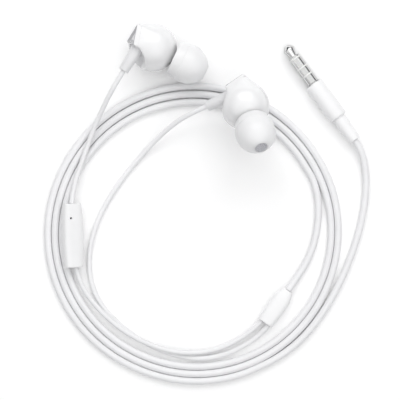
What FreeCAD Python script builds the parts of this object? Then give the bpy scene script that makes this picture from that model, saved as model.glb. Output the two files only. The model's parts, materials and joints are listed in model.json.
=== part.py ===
import FreeCAD, Part
import math
import os

# Wired in-ear earphones: two earpieces, an in-line remote, a splitter and a
# 3.5 mm four-pole plug. Millimetres, +Z up, everything lies on the plane Z = 0.
# The origin is on that plane, under the middle of the two earpieces.

V = FreeCAD.Vector

# ---- driving dimensions ----------------------------------------------------
FIT_GAP = 0.05            # radial clearance of a sliding fit
SEAT_GAP = 0.1            # clearance round a seated piece

# earpiece housing: a ball, and behind it a barrel of the same radius cut by sloping faces
BALL_R = 7.2
BALL_A = -7.1             # ball centre, on the earpiece's axis
BALL_IN_TIP = 0.1         # how far the ball's front reaches into the ear tip
TIP_REAR = BALL_A + BALL_R - BALL_IN_TIP
FRONT_FACET = 6.15        # flat on the ball's far side, from the ball's centre
UNDERSIDE = -2.4          # the barrel stops here, above the cord boot
SHELL_WALL = 0.8
COVER_DEPTH = 1.4         # rear cover, measured from the triangular end face
LIP_DEPTH = 1.0
LIP_WALL = 0.5
TRIM_DEPTH = 0.35
TRIM_SUNK = 0.1           # the inlay lies this far below the face
TRIM_CORNER = 1.43        # the inlay's corners stand this far in from the face's

# nozzle and ear tip
NOZZLE_R = 2.2
NOZZLE_WALL = 0.35
NOZZLE_END = 9.7
FLANGE_R = 3.3
FLANGE_BACK = -2.4        # rear face of the flange, which fills the ball's front up to here
MESH_T = 0.3
TIP_LENGTH = 10.3
TIP_CORE_START = 0.6
TIP_CORE_WALL = 0.8
TIP_SKIRT_WALL = 0.5
TIP_MOUTH_R = 2.15
TIP_PULL = 6.0            # how far a tip draws along its nozzle

# driver inside the ball
DRIVER_R = 4.0
DRIVER_WALL = 0.5
DRIVER_DEPTH = 3.0
DRIVER_FRONT = -3.7
MAGNET_R = 2.2
MAGNET_T = 1.2
DIAPHRAGM_BACK = 1.0      # behind the frame's front edge
YOKE_WALL = 0.4
COIL_GAP = 0.15
COIL_WALL = 0.2
COIL_TRAVEL = 0.6         # the magnet sits this far behind the frame's rear wall
DIAPHRAGM_T = 0.15

# cord boot of an earpiece
EAR_BOOT_R1 = 1.88
EAR_BOOT_R2 = 1.53
EAR_BOOT_LENGTH = 9.0
EAR_BOOT_COLLAR_R = 2.2
EAR_BOOT_COLLAR_T = 0.7
COLLAR_ROOM = 2.0         # how deep the rear cover is cleared round the collar

# remote
REMOTE_LENGTH = 19.05
REMOTE_WIDTH = 6.2
REMOTE_END_WIDTH = 4.7
REMOTE_DEPTH = 4.3
REMOTE_WALL = 0.7
REMOTE_ROUND = 1.2
REMOTE_TILT = 24.0
BUTTON_LENGTH = 6.0
BUTTON_WIDTH = 2.6
BUTTON_PROUD = 0.35
BUTTON_TRAVEL = 0.3
BUTTON_FLANGE = 0.4       # how far the button's flange reaches under the cover
BUTTON_FLANGE_T = 0.3
FLANGE_SLACK = 0.02       # between that flange and the cover
BOARD_LEVEL = 0.35        # underside of the board, from the parting plane
BOARD_SIZE = (3.4, 14.0, 0.5)
SWITCH_WIDTH = 2.4
CAPSULE_R = 0.75
MIC_R = 0.33
MIC_UP = 5.2              # microphone hole, from the middle towards the ears
MIC_SIDE = -1.05          # and to one side
LOWER_EXIT = 0.8          # the lower cord leaves this far off the middle

# splitter
SPLIT_LENGTH = 11.9
SPLIT_WIDTH = 5.4
SPLIT_HEIGHT = 3.8
SPLIT_NECK_R = 1.65
SPLIT_WALL = 0.7

# plug
JACK_R = 1.75
JACK_TIP_PROFILE = [(0, 0), (0, 0.45), (0.15, 0.7), (1.15, 1.62), (1.4, 1.72), (1.65, 1.68),
                    (3.75, 1.06), (3.92, 1.06), (4.0, 1.75)]
INSULATOR_T = 0.4
TIP_LEN = 4.45
RING_LEN = 2.97
RING2_LEN = 2.3
SLEEVE_LEN = 3.08
CONTACT_BORE = 0.9
BARREL_R = 2.85
BARREL_LEN = 12.5
BARREL_WALL = 0.6
BARREL_LIP = 1.2          # how far the barrel's rear lip reaches along the boot
SLEEVE_TAIL = 3.0         # thinner end of the sleeve, inside the barrel
SLEEVE_STEP = 0.35
PLUG_BOOT_R1 = 2.05
PLUG_BOOT_R2 = 1.93
PLUG_BOOT_LEN = 8.3

# cords
CABLE_D = 2.1             # splitter to plug
WIRE_D = 1.5              # splitter to each earpiece
COIL_CENTRE = V(-1.37, -43.15, 0)
COIL_R = 39.25            # innermost turn
COIL_PITCH = 2.18
COIL_TURNS_FROM = 30.0    # degrees, where the cable enters the coil
COIL_TURNS_TO = 1018.0    # degrees, where it leaves
STEP_FROM = -110.0        # a turn moves out by one pitch between these angles
STEP_SPAN = 125.0
COIL_SPREAD = 0.25        # the turns fan out by this much each at the far side

# ---- where things lie ------------------------------------------------------
LEFT_AT = V(-7.01, 9.26, 7.25)
LEFT_AXES = (V(0.902, -0.431, 0), V(0.431, 0.902, 0))
RIGHT_AT = V(15.65, -10.4, 17.0)
RIGHT_AXES = (V(0.255, -0.725, 0.64), V(0.862, 0.474, 0.175))
REMOTE_AT = V(-37.4, -43.5, 3.5)
REMOTE_UP = V(-0.03, 1.0, 0)
SPLIT_AT = V(20.0, -69.63, 2.05)
SPLIT_AXIS = V(6.87, 9.70, 0)
PLUG_AT = V(26.27, 13.06, BARREL_R)
PLUG_AXIS = V(0.5895, -0.808, 0)

# cord routes, each a list of points from one end to the other
LEFT_UPPER = [
    (-21.98, 5.18, 9.95), (-25.0, 0.39, 9.4), (-28.0, -5.2, 6.6), (-30.6, -10.7, 4.2),
    (-32.8, -16.4, 3.1), (-34.9, -22.3, 2.95), (-36.9, -28.1, 3.15), (-37.69, -33.98, 3.5),
]
LEFT_LOWER = [
    (-36.38, -53.0, 3.18), (-35.3, -57.3, 2.75), (-33.0, -61.3, 2.45), (-29.9, -65.2, 2.4),
    (-26.0, -69.0, 2.45), (-21.4, -72.5, 2.5), (-16.2, -75.3, 2.5), (-10.6, -77.5, 2.45),
    (-4.6, -78.6, 2.15), (1.4, -78.5, 1.3), (7.3, -77.1, 0.8), (12.6, -74.4, 1.0),
    (16.6, -71.5, 1.5), (19.02, -68.94, 2.05),
]
RIGHT_CORD = [
    (2.72, -5.24, 9.65), (-1.6, -7.05, 8.4), (-5.8, -9.3, 6.2), (-10.05, -12.6, 3.7),
    (-14.2, -16.6, 1.8), (-18.4, -21.2, 0.85), (-22.5, -26.3, 0.76), (-26.3, -31.8, 0.76),
    (-29.5, -37.7, 0.76), (-31.7, -44.0, 0.76), (-32.7, -50.6, 0.76), (-32.2, -57.2, 0.76),
    (-29.7, -63.4, 0.76), (-25.1, -68.9, 0.76), (-19.3, -73.6, 0.76), (-12.8, -77.3, 0.76),
    (-5.8, -79.7, 0.76), (1.4, -80.5, 0.76), (8.4, -79.2, 0.76), (14.9, -75.9, 0.9),
    (18.8, -73.0, 1.5), (20.98, -70.32, 2.05),
]
CABLE_START = [
    (26.88, -59.92, 2.05), (29.4, -56.3, 1.3), (32.2, -52.1, 1.06), (34.3, -47.4, 1.06),
    (35.6, -42.2, 1.06), (36.1, -36.9, 1.06), (35.85, -31.7, 1.06), (34.62, -26.98, 1.06),
    (32.62, -23.52, 1.06),
]
CABLE_END = [
    (19.49, -82.39, 1.06), (24.4, -79.78, 1.06), (30.0, -75.6, 1.06), (35.1, -69.9, 1.06),
    (39.6, -63.1, 1.06), (43.1, -56.2, 1.06), (45.9, -49.4, 1.06), (48.1, -42.6, 1.06),
    (49.6, -35.9, 1.06), (50.3, -29.5, 1.1), (50.1, -23.4, 1.6), (48.75, -17.9, 2.5),
    (46.78, -15.05, 2.85),
]

PARTS = {}


# ---- helpers ---------------------------------------------------------------
def placed(at, first, second):
    """Placement whose local X and Y run along first and second."""
    x = V(first).normalize()
    z = x.cross(second).normalize()
    y = z.cross(x)
    matrix = FreeCAD.Matrix(x.x, y.x, z.x, at.x, x.y, y.y, z.y, at.y,
                            x.z, y.z, z.z, at.z, 0, 0, 0, 1)
    return FreeCAD.Placement(matrix)


def keep(name, shape, placement=None):
    """Store one sub-part, moved to where it lies."""
    shape = shape.copy()
    if placement is not None:
        shape.Placement = placement.multiply(shape.Placement)
    PARTS[name] = shape


def beyond(point, normal, size=60.0):
    """A block that fills the side of a plane that its normal points to."""
    block = Part.makeBox(size, size, size, V(-size / 2, -size / 2, 0))
    block.Placement = FreeCAD.Placement(point, FreeCAD.Rotation(V(0, 0, 1), normal))
    return block


def turned(points):
    """Solid of revolution about local X from (along, radius) points."""
    loop = [V(a, r, 0) for a, r in points]
    face = Part.Face(Part.makePolygon(loop + [loop[0]]))
    return face.revolve(V(0, 0, 0), V(1, 0, 0), 360)


def disc(a0, a1, r_out, r_in=0.0):
    """Disc or ring about local X between two stations."""
    solid = Part.makeCylinder(r_out, a1 - a0, V(a0, 0, 0), V(1, 0, 0))
    if r_in > 0:
        solid = solid.cut(Part.makeCylinder(r_in, a1 - a0, V(a0, 0, 0), V(1, 0, 0)))
    return solid


def tube(name, points, diameter):
    """Round cord along straight runs joined by tangent arcs."""
    pts = [V(*p) for p in points]
    edges, start, radii = [], pts[0], []
    for before, corner, after in zip(pts, pts[1:], pts[2:]):
        u, w = (corner - before), (after - corner)
        run = min(u.Length, w.Length)
        turn = u.getAngle(w)
        back = 0.45 * run
        radii.append(back / math.tan(turn / 2))
        u.normalize()
        w.normalize()
        enter, leave = corner - u * back, corner + w * back
        bulge = (w - u).normalize()
        middle = corner + bulge * (radii[-1] / math.cos(turn / 2) - radii[-1])
        edges.append(Part.LineSegment(start, enter).toShape())
        edges.append(Part.Arc(enter, middle, leave).toShape())
        start = leave
    edges.append(Part.LineSegment(start, pts[-1]).toShape())
    path = Part.Wire(edges)
    ring = Part.Circle(pts[0], pts[1] - pts[0], diameter / 2).toShape()
    solid = path.makePipeShell([Part.Wire(ring)], True, True)
    ratio = solid.Volume / (math.pi * diameter ** 2 / 4 * path.Length)
    print(name, "length %.1f, volume / (section x length) %.4f, arc radii %s"
          % (path.Length, ratio, [round(r, 1) for r in radii]))
    keep(name, solid)
    return path.Length


# ---- earpiece --------------------------------------------------------------
# Local axes: X along the nozzle, Y away from the cord boot, Z out of the near side.
END_FACE = (V(-13.9, 4.0, 5.5), V(-12.3, -2.4, 6.3), V(-15.1, -1.6, -3.9))
BARREL_BACK = 11.0                          # how far the barrel runs behind the ball's centre
TOP_SLOPE = (V(-7.9, 6.7, 0), V(-0.395, 0.919, 0))      # a point on it and its normal
FAR_SLOPE = (END_FACE[0], V(-0.74, 0.617, -0.27))
FRONT_FACET_NORMAL = V(0.552, 0.613, -0.559)
BOOT_AT = V(-10.7, -1.2, 2.7)
BOOT_AXIS = V(-0.116, -0.993, 0)


def end_normal():
    a, b, c = END_FACE
    n = (b - a).cross(c - a).normalize()
    return n if n.x < 0 else n * -1


def block(inset):
    """The barrel behind the ball with its sloping faces, every wall moved in by inset."""
    barrel = Part.makeCylinder(BALL_R - inset, BARREL_BACK, V(BALL_A, 0, 0), V(-1, 0, 0))
    faces = [(END_FACE[0], end_normal()), TOP_SLOPE, FAR_SLOPE, (V(0, UNDERSIDE, 0), V(0, -1, 0))]
    for point, normal in faces:
        n = V(normal).normalize()
        barrel = barrel.cut(beyond(point - n * inset, n))
    return barrel


def body(inset):
    """Ball and barrel as one solid, every wall moved in by inset."""
    centre = V(BALL_A, 0, 0)
    whole = Part.makeSphere(BALL_R - inset, centre).fuse(block(inset)).removeSplitter()
    n = V(FRONT_FACET_NORMAL).normalize()
    return whole.cut(beyond(centre + n * (FRONT_FACET - inset), n))


def ear_boot():
    """Tapered strain relief with a collar that sits inside the shell."""
    cone = Part.makeCone(EAR_BOOT_R1, EAR_BOOT_R2, EAR_BOOT_LENGTH, BOOT_AT, BOOT_AXIS)
    top = BOOT_AT - BOOT_AXIS * EAR_BOOT_COLLAR_T
    collar = Part.makeCylinder(EAR_BOOT_COLLAR_R, EAR_BOOT_COLLAR_T, top, BOOT_AXIS)
    return cone.fuse(collar)


def ear_tip():
    """Domed silicone tip: core sleeve, web and thin skirt in one piece."""
    bore = NOZZLE_R + FIT_GAP
    core = bore + TIP_CORE_WALL
    w = TIP_SKIRT_WALL
    step = NOZZLE_END + MESH_T + SEAT_GAP
    tip = turned([
        (0, 5.05), (1.2, 5.45), (2.5, 5.72), (3.4, 5.83), (4.3, 5.85), (5.2, 5.78), (6.0, 5.62),
        (7.1, 5.2), (8.2, 4.5), (9.1, 3.6), (9.8, 2.75), (TIP_LENGTH, TIP_MOUTH_R + 0.25),
        (TIP_LENGTH, TIP_MOUTH_R), (step, TIP_MOUTH_R), (step, bore), (TIP_CORE_START, bore),
        (TIP_CORE_START, core), (6.4, core), (7.0, core + 0.5), (6.6, 4.6), (5.8, 5.62 - w),
        (4.3, 5.85 - w), (2.5, 5.72 - w), (0, 5.05 - w),
    ])
    return tip.translated(V(TIP_REAR, 0, 0))


def nozzle():
    """Sound tube with a flange shaped to the inside of the ball."""
    bore = NOZZLE_R - NOZZLE_WALL
    back = TIP_REAR + FLANGE_BACK
    flange = disc(back, TIP_REAR, FLANGE_R, bore).common(body(SHELL_WALL + FIT_GAP))
    return disc(back, TIP_REAR + NOZZLE_END, NOZZLE_R, bore).fuse(flange)


def driver(side, where):
    """Frame, magnet, yoke, voice coil and diaphragm of the moving-coil driver."""
    back = DRIVER_FRONT - DRIVER_DEPTH
    yoke_in = MAGNET_R + 2 * COIL_GAP + COIL_WALL
    yoke_out = yoke_in + YOKE_WALL
    frame = disc(back, DRIVER_FRONT, DRIVER_R, DRIVER_R - DRIVER_WALL)
    frame = frame.fuse(disc(back, back + DRIVER_WALL, DRIVER_R, yoke_out + FIT_GAP))
    yoke_back = back + DRIVER_WALL - MAGNET_T - YOKE_WALL - COIL_TRAVEL
    yoke = disc(yoke_back, yoke_back + YOKE_WALL, yoke_out)
    yoke = yoke.fuse(disc(yoke_back, back + DRIVER_WALL, yoke_out, yoke_in))
    magnet_at = yoke_back + YOKE_WALL
    diaphragm_at = DRIVER_FRONT - DIAPHRAGM_BACK
    keep(side + "driver_frame", frame, where)
    keep(side + "yoke", yoke, where)
    keep(side + "magnet", disc(magnet_at, magnet_at + MAGNET_T, MAGNET_R), where)
    coil_r = MAGNET_R + COIL_GAP
    keep(side + "voice_coil", disc(magnet_at + MAGNET_T / 2, diaphragm_at, coil_r + COIL_WALL, coil_r), where)
    rim = DRIVER_R - DRIVER_WALL - FIT_GAP
    dome = turned([
        (diaphragm_at, 0), (diaphragm_at, rim), (diaphragm_at + DIAPHRAGM_T, rim),
        (diaphragm_at + DIAPHRAGM_T, coil_r + 0.4), (diaphragm_at + 0.5, coil_r - 0.6),
        (diaphragm_at + 0.7, 0),
    ])
    keep(side + "diaphragm", dome, where)


def earpiece(side, at, axes):
    where = placed(at, *axes)
    n = end_normal()
    seam = END_FACE[0] - n * COVER_DEPTH
    outer, inner = body(0), body(SHELL_WALL)
    behind = beyond(seam, n)
    shell = outer.cut(inner).cut(behind)
    shell = shell.cut(disc(-2, 4, NOZZLE_R + FIT_GAP))
    hole = Part.makeCylinder(EAR_BOOT_R1 + FIT_GAP, EAR_BOOT_LENGTH, BOOT_AT, BOOT_AXIS)
    shell = shell.cut(hole)
    keep(side + "front_shell", shell, where)

    cover = outer.common(behind)
    lip_out, lip_in = block(SHELL_WALL + SEAT_GAP), block(SHELL_WALL + SEAT_GAP + LIP_WALL)
    slab = beyond(seam - n * LIP_DEPTH, n)
    lip = lip_out.cut(lip_in).common(slab).cut(behind)
    collar_room = Part.makeCylinder(EAR_BOOT_COLLAR_R + SEAT_GAP, COLLAR_ROOM + SEAT_GAP,
                                    BOOT_AT - BOOT_AXIS * COLLAR_ROOM, BOOT_AXIS)
    a, b, c = END_FACE
    middle = (a + b + c) * (1 / 3.0)
    corners = [p + (middle - p) * (TRIM_CORNER / (middle - p).Length) for p in (a, b, c)]
    face = Part.Face(Part.makePolygon(corners + [corners[0]]))
    recess = face.extrude(n * -TRIM_DEPTH)
    mouth = face.extrude(n * 2)
    cover = cover.fuse(lip).cut(collar_room).cut(hole).cut(recess).cut(mouth)
    keep(side + "rear_cover", cover, where)
    small = [p + (middle - p) * (FIT_GAP * 2 / (middle - p).Length) for p in corners]
    trim = Part.Face(Part.makePolygon(small + [small[0]])).extrude(n * -(TRIM_DEPTH - TRIM_SUNK))
    trim.translate(n * -TRIM_SUNK)
    keep(side + "rear_trim", trim, where)

    keep(side + "nozzle", nozzle(), where)
    mesh_at = TIP_REAR + NOZZLE_END
    keep(side + "nozzle_mesh", disc(mesh_at, mesh_at + MESH_T, NOZZLE_R - 0.05), where)
    keep(side + "ear_tip", ear_tip(), where)
    keep(side + "boot", ear_boot(), where)
    driver(side, where)
    end = BOOT_AT + BOOT_AXIS * (EAR_BOOT_LENGTH)
    print(side + "boot end", where.multVec(end), "direction", where.Rotation.multVec(BOOT_AXIS))


# ---- remote ----------------------------------------------------------------
def remote_outline(inset):
    """Barrel-sided plan: local X across, local Y towards the ears."""
    half, end = REMOTE_LENGTH / 2 - inset, REMOTE_END_WIDTH / 2 - inset
    side = REMOTE_WIDTH / 2 - inset
    wire = Part.Wire([
        Part.LineSegment(V(-end, half, 0), V(end, half, 0)).toShape(),
        Part.Arc(V(end, half, 0), V(side, 0, 0), V(end, -half, 0)).toShape(),
        Part.LineSegment(V(end, -half, 0), V(-end, -half, 0)).toShape(),
        Part.Arc(V(-end, -half, 0), V(-side, 0, 0), V(-end, half, 0)).toShape(),
    ])
    return Part.Face(wire)


def remote_block(inset, rounding):
    depth = REMOTE_DEPTH - 2 * inset
    solid = remote_outline(inset).extrude(V(0, 0, depth))
    solid.translate(V(0, 0, -depth / 2))
    return solid.makeFillet(rounding, solid.Edges)


def rounded_bar(length, width, depth, z0):
    bar = Part.makeBox(width, length, depth, V(-width / 2, -length / 2, z0))
    upright = [e for e in bar.Edges if abs(e.tangentAt(e.FirstParameter).z) > 0.9]
    return bar.makeFillet(width * 0.45, upright)


def remote():
    tilt = FreeCAD.Rotation(V(0, 1, 0), REMOTE_TILT)
    where = placed(REMOTE_AT, V(1, 0.03, 0), REMOTE_UP)
    where = where.multiply(FreeCAD.Placement(V(0, 0, 0), tilt))
    hollow = remote_block(REMOTE_WALL, REMOTE_ROUND - REMOTE_WALL)
    shell = remote_block(0, REMOTE_ROUND).cut(hollow)
    front = shell.cut(beyond(V(0, 0, 0), V(0, 0, -1)))
    back = shell.cut(beyond(V(0, 0, 0), V(0, 0, 1)))
    front = front.cut(Part.makeCylinder(MIC_R, 5, V(MIC_SIDE, MIC_UP, 0)))
    well = rounded_bar(BUTTON_LENGTH + 2 * SEAT_GAP, BUTTON_WIDTH + 2 * SEAT_GAP, 2,
                       -REMOTE_DEPTH / 2 - 1)
    low = -REMOTE_DEPTH / 2
    cap_depth = BUTTON_PROUD + REMOTE_WALL + FLANGE_SLACK
    cap = rounded_bar(BUTTON_LENGTH, BUTTON_WIDTH, cap_depth, low - BUTTON_PROUD)
    flange = rounded_bar(BUTTON_LENGTH + 2 * BUTTON_FLANGE, BUTTON_WIDTH + 2 * BUTTON_FLANGE,
                         BUTTON_FLANGE_T, low + REMOTE_WALL + FLANGE_SLACK)
    wide, long, thick = BOARD_SIZE
    board = Part.makeBox(wide, long, thick, V(-wide / 2, -long / 2, BOARD_LEVEL))
    board = board.cut(Part.makeCylinder(MIC_R, 5, V(MIC_SIDE, MIC_UP, -1)))
    switch_z = low + REMOTE_WALL + FLANGE_SLACK + BUTTON_FLANGE_T + BUTTON_TRAVEL + FIT_GAP
    side = SWITCH_WIDTH
    switch = Part.makeBox(side, side, BOARD_LEVEL - switch_z, V(-side / 2, -side / 2, switch_z))
    capsule = disc_z(CAPSULE_R, BOARD_LEVEL + thick, REMOTE_DEPTH / 2 - REMOTE_WALL - FIT_GAP)
    capsule = capsule.cut(disc_z(MIC_R, BOARD_LEVEL, REMOTE_DEPTH / 2))
    capsule.translate(V(MIC_SIDE, MIC_UP, 0))
    keep("remote_front_cover", front, where)
    keep("remote_back_cover", back.cut(well), where)
    keep("remote_button", cap.fuse(flange), where)
    keep("remote_board", board, where)
    keep("remote_switch", switch, where)
    keep("microphone", capsule, where)
    for spot in (V(0, REMOTE_LENGTH / 2, 0), V(LOWER_EXIT, -REMOTE_LENGTH / 2, 0)):
        print("remote exit", where.multVec(spot))
    print("button press direction", where.Rotation.multVec(V(0, 0, 1)))


def disc_z(radius, z0, z1):
    return Part.makeCylinder(radius, z1 - z0, V(0, 0, z0))


# ---- splitter --------------------------------------------------------------
def oval(x, width, height):
    if width < height:
        width = height + 0.001
    ring = Part.Ellipse(V(0, 0, 0), width / 2, height / 2).toShape()
    ring.Placement = placed(V(x, 0, 0), V(0, 1, 0), V(0, 0, 1))
    return Part.Wire(ring)


def splitter_body(inset):
    k = 2 * inset
    stations = [
        (inset, SPLIT_WIDTH - 0.5 - k, SPLIT_HEIGHT - 0.4 - k),
        (0.8, SPLIT_WIDTH - 0.1 - k, SPLIT_HEIGHT - k),
        (6.0, SPLIT_WIDTH - k, SPLIT_HEIGHT - k),
        (9.0, SPLIT_WIDTH - 0.7 - k, SPLIT_HEIGHT - 0.2 - k),
        (SPLIT_LENGTH - inset, 2 * SPLIT_NECK_R - k, 2 * SPLIT_NECK_R - 0.1 - k),
    ]
    return Part.makeLoft([oval(*s) for s in stations], True, False)


def splitter():
    where = placed(SPLIT_AT, SPLIT_AXIS, V(0, 0, 1).cross(SPLIT_AXIS))
    keep("splitter_shell", splitter_body(0).cut(splitter_body(SPLIT_WALL)), where)
    core = Part.makeBox(5.5, 2.4, 1.2, V(2.0, -1.2, -0.6))
    keep("splitter_joint", core, where)
    for spot in (V(0, 1.2, 0), V(0, -1.2, 0), V(SPLIT_LENGTH, 0, 0)):
        print("splitter exit", where.multVec(spot))


# ---- plug ------------------------------------------------------------------
def plug():
    where = placed(PLUG_AT, PLUG_AXIS, V(0, 0, 1).cross(PLUG_AXIS))
    r, core = JACK_R, CONTACT_BORE
    x1 = TIP_LEN
    x2 = x1 + INSULATOR_T + RING_LEN
    x3 = x2 + INSULATOR_T + RING2_LEN
    x4 = x3 + INSULATOR_T + SLEEVE_LEN
    x5 = x4 + BARREL_LEN
    tip = turned(JACK_TIP_PROFILE + [(x1, r), (x1, 0)])
    keep("jack_tip", tip, where)
    keep("jack_ring_1", disc(x1 + INSULATOR_T, x2, r, core), where)
    keep("jack_ring_2", disc(x2 + INSULATOR_T, x3, r, core), where)
    sleeve = disc(x3 + INSULATOR_T, x4, r, core).fuse(disc(x4, x4 + SLEEVE_TAIL, r - SLEEVE_STEP, core))
    keep("jack_sleeve", sleeve, where)
    rings = [disc(x, x + INSULATOR_T, r, core) for x in (x1, x2, x3)]
    keep("jack_insulators", Part.makeCompound(rings), where)
    keep("jack_centre_pin", disc(x1, x4 + 4.0, core - FIT_GAP), where)
    throat, hollow, mouth = r - SLEEVE_STEP + FIT_GAP, BARREL_R - BARREL_WALL, PLUG_BOOT_R1 + FIT_GAP
    lip = x5 - BARREL_LIP
    barrel = turned([
        (x4, throat), (x4, 2.3), (x4 + 0.5, BARREL_R), (x5 - 1.1, BARREL_R), (x5 - 0.3, 2.45),
        (x5, 2.2), (x5, mouth), (lip, mouth), (lip, hollow), (x4 + 1.0, hollow), (x4 + 1.0, throat),
    ])
    keep("plug_barrel", barrel, where)
    mould = disc(x4 + 4.2, x5 - 3.0, hollow - SEAT_GAP)
    keep("plug_core", mould, where)
    boot = turned([
        (lip - 0.8, 0), (lip - 0.8, 2.15), (lip - SEAT_GAP, 2.15), (lip - SEAT_GAP, PLUG_BOOT_R1),
        (x5, PLUG_BOOT_R1), (x5 + PLUG_BOOT_LEN, PLUG_BOOT_R2), (x5 + PLUG_BOOT_LEN, 0),
    ])
    keep("plug_boot", boot, where)
    print("plug cord end", where.multVec(V(x5 + PLUG_BOOT_LEN, 0, 0)), "jack pin middle",
          where.multVec(V((x1 + x4) / 2, 0, 0)), "axis", where.Rotation.multVec(V(-1, 0, 0)))


# ---- coil ------------------------------------------------------------------
def coil_radius(angle):
    """Centreline radius at an angle in degrees that keeps counting up."""
    turn = math.floor((angle - STEP_FROM) / 360.0)
    part = (angle - STEP_FROM - 360.0 * turn) / STEP_SPAN
    spread = COIL_SPREAD * (turn + 1) * max(0.0, math.sin(math.radians(angle))) ** 4
    return COIL_R + COIL_PITCH * (turn + min(1.0, part) - 1) + spread


def coil_point(angle, offset=0.0):
    r, a = coil_radius(angle) + offset, math.radians(angle)
    return COIL_CENTRE + V(r * math.cos(a), r * math.sin(a), 0)


def coil_band(z0, z1, inset):
    """Flat band between the innermost and the outermost turn's edges."""
    half = CABLE_D / 2 - inset
    steps = 96
    inner = [coil_point(COIL_TURNS_FROM + 360.0 * i / steps, -half) for i in range(steps + 1)]
    outer = [coil_point(COIL_TURNS_TO - 360.0 * i / steps, half) for i in range(steps + 1)]
    outside = Part.Face(Part.makePolygon(outer + [outer[0]])).extrude(V(0, 0, z1 - z0))
    inside = Part.Face(Part.makePolygon(inner + [inner[0]])).extrude(V(0, 0, z1 - z0))
    band = outside.cut(inside)
    band.translate(V(0, 0, z0))
    return band


def coil():
    low = coil_band(0.01, CABLE_D / 2, 0.0)
    high = coil_band(CABLE_D / 2, CABLE_D, 0.8)
    keep("cable_coil", low.fuse(high).removeSplitter())
    angles = [COIL_TURNS_FROM + i for i in range(int(COIL_TURNS_TO - COIL_TURNS_FROM) + 1)]
    points = [coil_point(a) for a in angles]
    return sum((b - a).Length for a, b in zip(points, points[1:]))


# ---- build -----------------------------------------------------------------
def main():
    earpiece("left_", LEFT_AT, LEFT_AXES)
    earpiece("right_", RIGHT_AT, RIGHT_AXES)
    remote()
    splitter()
    plug()
    wound = coil()
    start = tube("cable_start", CABLE_START, CABLE_D)
    end = tube("cable_end", CABLE_END, CABLE_D)
    print("cable: %.1f wound, %.1f in all" % (wound, start + wound + end))
    tube("left_cord_upper", LEFT_UPPER, WIRE_D)
    tube("left_cord_lower", LEFT_LOWER, WIRE_D)
    tube("right_cord", RIGHT_CORD, WIRE_D)
    os.makedirs("parts", exist_ok=True)
    for name, shape in PARTS.items():
        solids = len(shape.Solids)
        if not shape.isValid() or solids == 0:
            print("CHECK", name, "valid", shape.isValid(), "solids", solids)
        shape.exportStep("parts/" + name + ".step")
    print(len(PARTS), "nodes")


main()
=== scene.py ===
import bpy
import bmesh
import json
import math
from mathutils import Matrix, Vector


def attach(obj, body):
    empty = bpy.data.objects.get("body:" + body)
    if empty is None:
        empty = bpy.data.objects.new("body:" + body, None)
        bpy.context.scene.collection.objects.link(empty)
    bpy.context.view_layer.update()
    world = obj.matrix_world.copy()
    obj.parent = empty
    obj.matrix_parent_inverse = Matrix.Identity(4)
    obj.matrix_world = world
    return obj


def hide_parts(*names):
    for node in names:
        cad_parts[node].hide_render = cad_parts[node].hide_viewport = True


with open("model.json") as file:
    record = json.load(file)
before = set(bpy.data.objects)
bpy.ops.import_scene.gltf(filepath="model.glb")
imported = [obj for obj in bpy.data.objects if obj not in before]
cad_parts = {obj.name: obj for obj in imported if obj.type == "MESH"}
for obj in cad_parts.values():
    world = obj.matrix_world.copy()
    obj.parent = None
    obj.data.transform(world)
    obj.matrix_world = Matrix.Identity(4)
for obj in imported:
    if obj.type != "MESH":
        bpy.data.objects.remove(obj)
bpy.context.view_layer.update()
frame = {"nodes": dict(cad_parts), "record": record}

MM = 0.001

# %% [markdown]
# # A pair of wired in-ear earphones
# The design model already fixes every size and place. This lesson gives it its looks: soft white
# cords laid as smooth curves, glossy moulded shells with rounded edges, translucent silicone ear
# tips, a fine mesh in each nozzle and a nickel-plated plug.
# First come the places of the things that the cords run between. All numbers are in metres or,
# where a list is easier to read in millimetres, they are multiplied by MM.

# %% Sizes and places shared by the steps below
CABLE_D = 2.1 * MM
WIRE_D = 1.5 * MM
COIL_CENTRE = Vector((-1.37, -43.15, 0)) * MM
COIL_R = 39.25 * MM
COIL_PITCH = 2.18 * MM
COIL_SPREAD = 0.25 * MM
COIL_HEIGHT = 1.06 * MM          # the cable's centre line above the table
EAR_ORIGIN = {"left": Vector((-7.01, 9.26, 7.25)) * MM, "right": Vector((15.65, -10.4, 17.0)) * MM}
EAR_AXES = {
    "left": (Vector((0.902, -0.431, 0)), Vector((0.431, 0.902, 0))),
    "right": (Vector((0.255, -0.725, 0.64)), Vector((0.862, 0.474, 0.175))),
}


def placing(at, first, second):
    """Matrix whose X runs along first and whose Y runs as nearly as it can along second."""
    x = first.normalized()
    z = x.cross(second).normalized()
    y = z.cross(x)
    return Matrix.Translation(at) @ Matrix((x, y, z)).transposed().to_4x4()


EAR_PLACE = {side: placing(EAR_ORIGIN[side], *EAR_AXES[side]) for side in EAR_ORIGIN}
print("earpieces at", {side: tuple(round(v, 4) for v in EAR_ORIGIN[side]) for side in EAR_ORIGIN})

# %% [markdown]
# ## The camera, the table and the light
# Small white goods look their best from straight above on a pale sheet under large soft lamps. A
# long lens a little over half a metre up keeps the view nearly flat, so round things stay round.

# %% Camera
VIEW_CENTRE = Vector((0.6, -32.9, 0)) * MM
VIEW_WIDTH = 119.4 * MM
CAMERA_HEIGHT = 0.6
SENSOR = 36.0

camera = bpy.data.objects.new("camera", bpy.data.cameras.new("camera"))
camera.data.sensor_width = SENSOR
camera.data.lens = SENSOR * CAMERA_HEIGHT / VIEW_WIDTH
camera.data.clip_start, camera.data.clip_end = 0.01, 10
camera.location = VIEW_CENTRE + Vector((0, 0, CAMERA_HEIGHT + 0.0025))
bpy.context.collection.objects.link(camera)
bpy.context.scene.camera = camera
print("lens", round(camera.data.lens, 1), "mm,", CAMERA_HEIGHT, "m above the table")

# %% [markdown]
# The table is one large flat sheet, nearly white and a little rough. The room is bright overhead
# and dimmer towards the horizon, which shades the sides of white things and gives polished metal
# something dark to mirror.

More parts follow.
